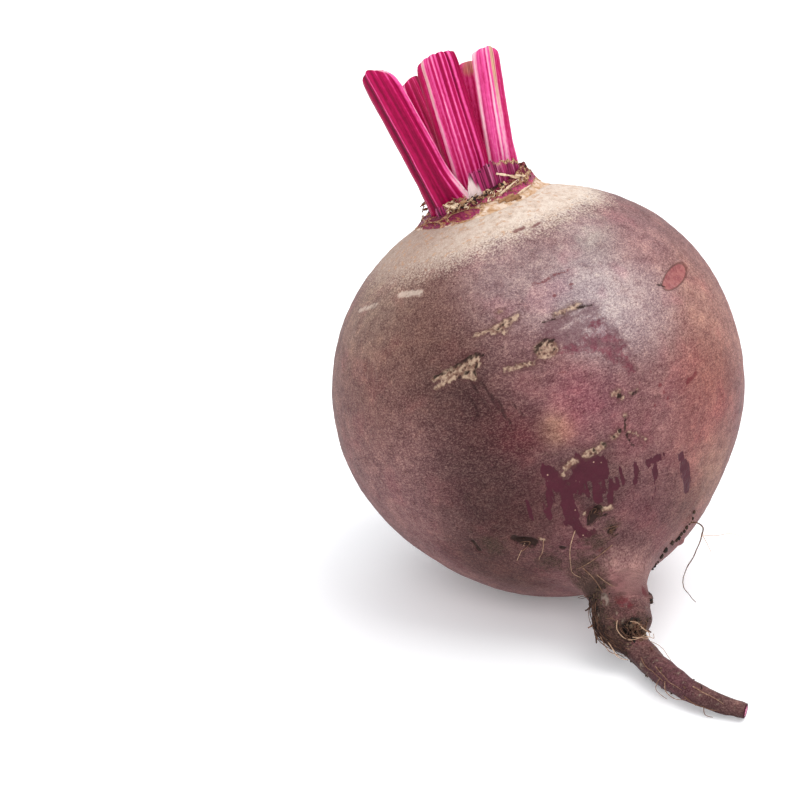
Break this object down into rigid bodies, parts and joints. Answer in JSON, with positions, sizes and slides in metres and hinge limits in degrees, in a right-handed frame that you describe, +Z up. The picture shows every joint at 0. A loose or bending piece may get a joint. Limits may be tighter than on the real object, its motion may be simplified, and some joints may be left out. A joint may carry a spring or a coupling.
{
  "type": "beetroot",
  "caption": "Whole beetroot with a round root, a bent taproot and cut leaf stalks on a low crown.",
  "frame": {"origin": "middle of the small flat spot that the root rests on, on the table's surface", "axes": "+Z up; +X to the right and -Y to the front, where the taproot points; the crown leans to the left"},
  "size_m": [0.0833, 0.107, 0.1095],
  "materials": {
    "root_skin": "dry matte root skin",
    "crown_purple": "matte plant tissue",
    "stalk_pink": "satin plant tissue"
  },
  "bodies": {
    "root": {"root": "root_skin", "crown": "crown_purple", "stalk_left": "stalk_pink", "stalk_back_left": "stalk_pink", "stalk_middle": "stalk_pink", "stalk_back_right": "stalk_pink", "stalk_right": "stalk_pink", "stub_front": "crown_purple", "stub_left": "crown_purple"}
  },
  "joints": []
}
